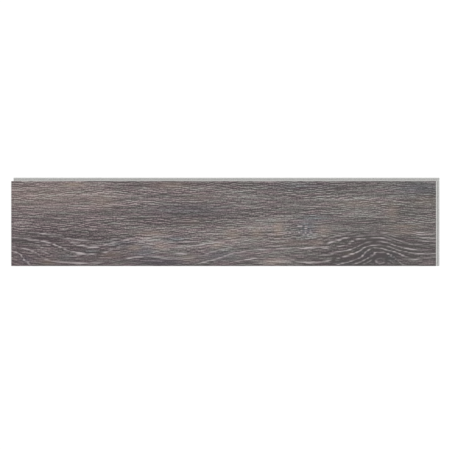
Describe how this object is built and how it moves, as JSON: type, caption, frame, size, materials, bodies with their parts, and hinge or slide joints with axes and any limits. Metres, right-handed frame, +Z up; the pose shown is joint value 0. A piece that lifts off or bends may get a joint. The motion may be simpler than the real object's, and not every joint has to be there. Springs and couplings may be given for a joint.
{
  "type": "herringbone vinyl plank",
  "caption": "Rectangular click-lock vinyl floor plank for herringbone laying: grey oak print on a rigid core, lower locking lips on two edges and matching sockets on the others.",
  "frame": {"origin": "on the underside, below the middle of the printed face", "axes": "+X along the plank towards the short lip, +Y across it towards the long lip, +Z up out of the printed face"},
  "size_m": [0.605, 0.125, 0.005],
  "materials": {
    "rigid_core": "matte",
    "printed_oak": "matte"
  },
  "bodies": {
    "root": {"core_board": "rigid_core", "decor_layer": "printed_oak"}
  },
  "joints": []
}
